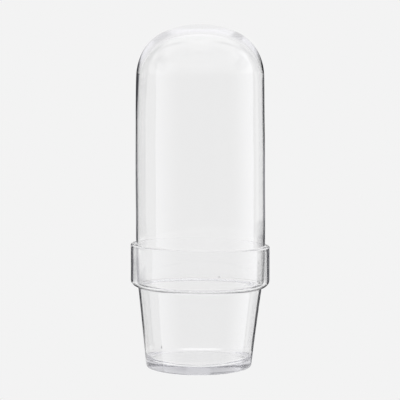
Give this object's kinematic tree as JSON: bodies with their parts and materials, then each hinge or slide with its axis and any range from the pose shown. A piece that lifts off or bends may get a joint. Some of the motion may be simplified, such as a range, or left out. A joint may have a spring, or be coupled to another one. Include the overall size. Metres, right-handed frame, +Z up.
{
  "type": "glass mini-greenhouse",
  "caption": "Tall clear glass dome standing in the collar of a flowerpot-shaped glass pot, which keeps a seedling or cutting humid; the dome lifts off.",
  "frame": {"origin": "middle of the flat face that the pot rests on", "axes": "+Z up, along the axis that both glass pieces are round about"},
  "size_m": [0.14, 0.14, 0.343],
  "materials": {
    "pot_glass": "clear, fire-polished",
    "dome_glass": "clear, fire-polished"
  },
  "bodies": {
    "pot": {"glass_pot": "pot_glass"},
    "dome": {"glass_dome": "dome_glass"}
  },
  "joints": [
    {"name": "dome_lift", "type": "slide", "parent": "pot", "child": "dome", "axis": [0, 0, 1], "range_m": [0, 0.09]}
  ]
}
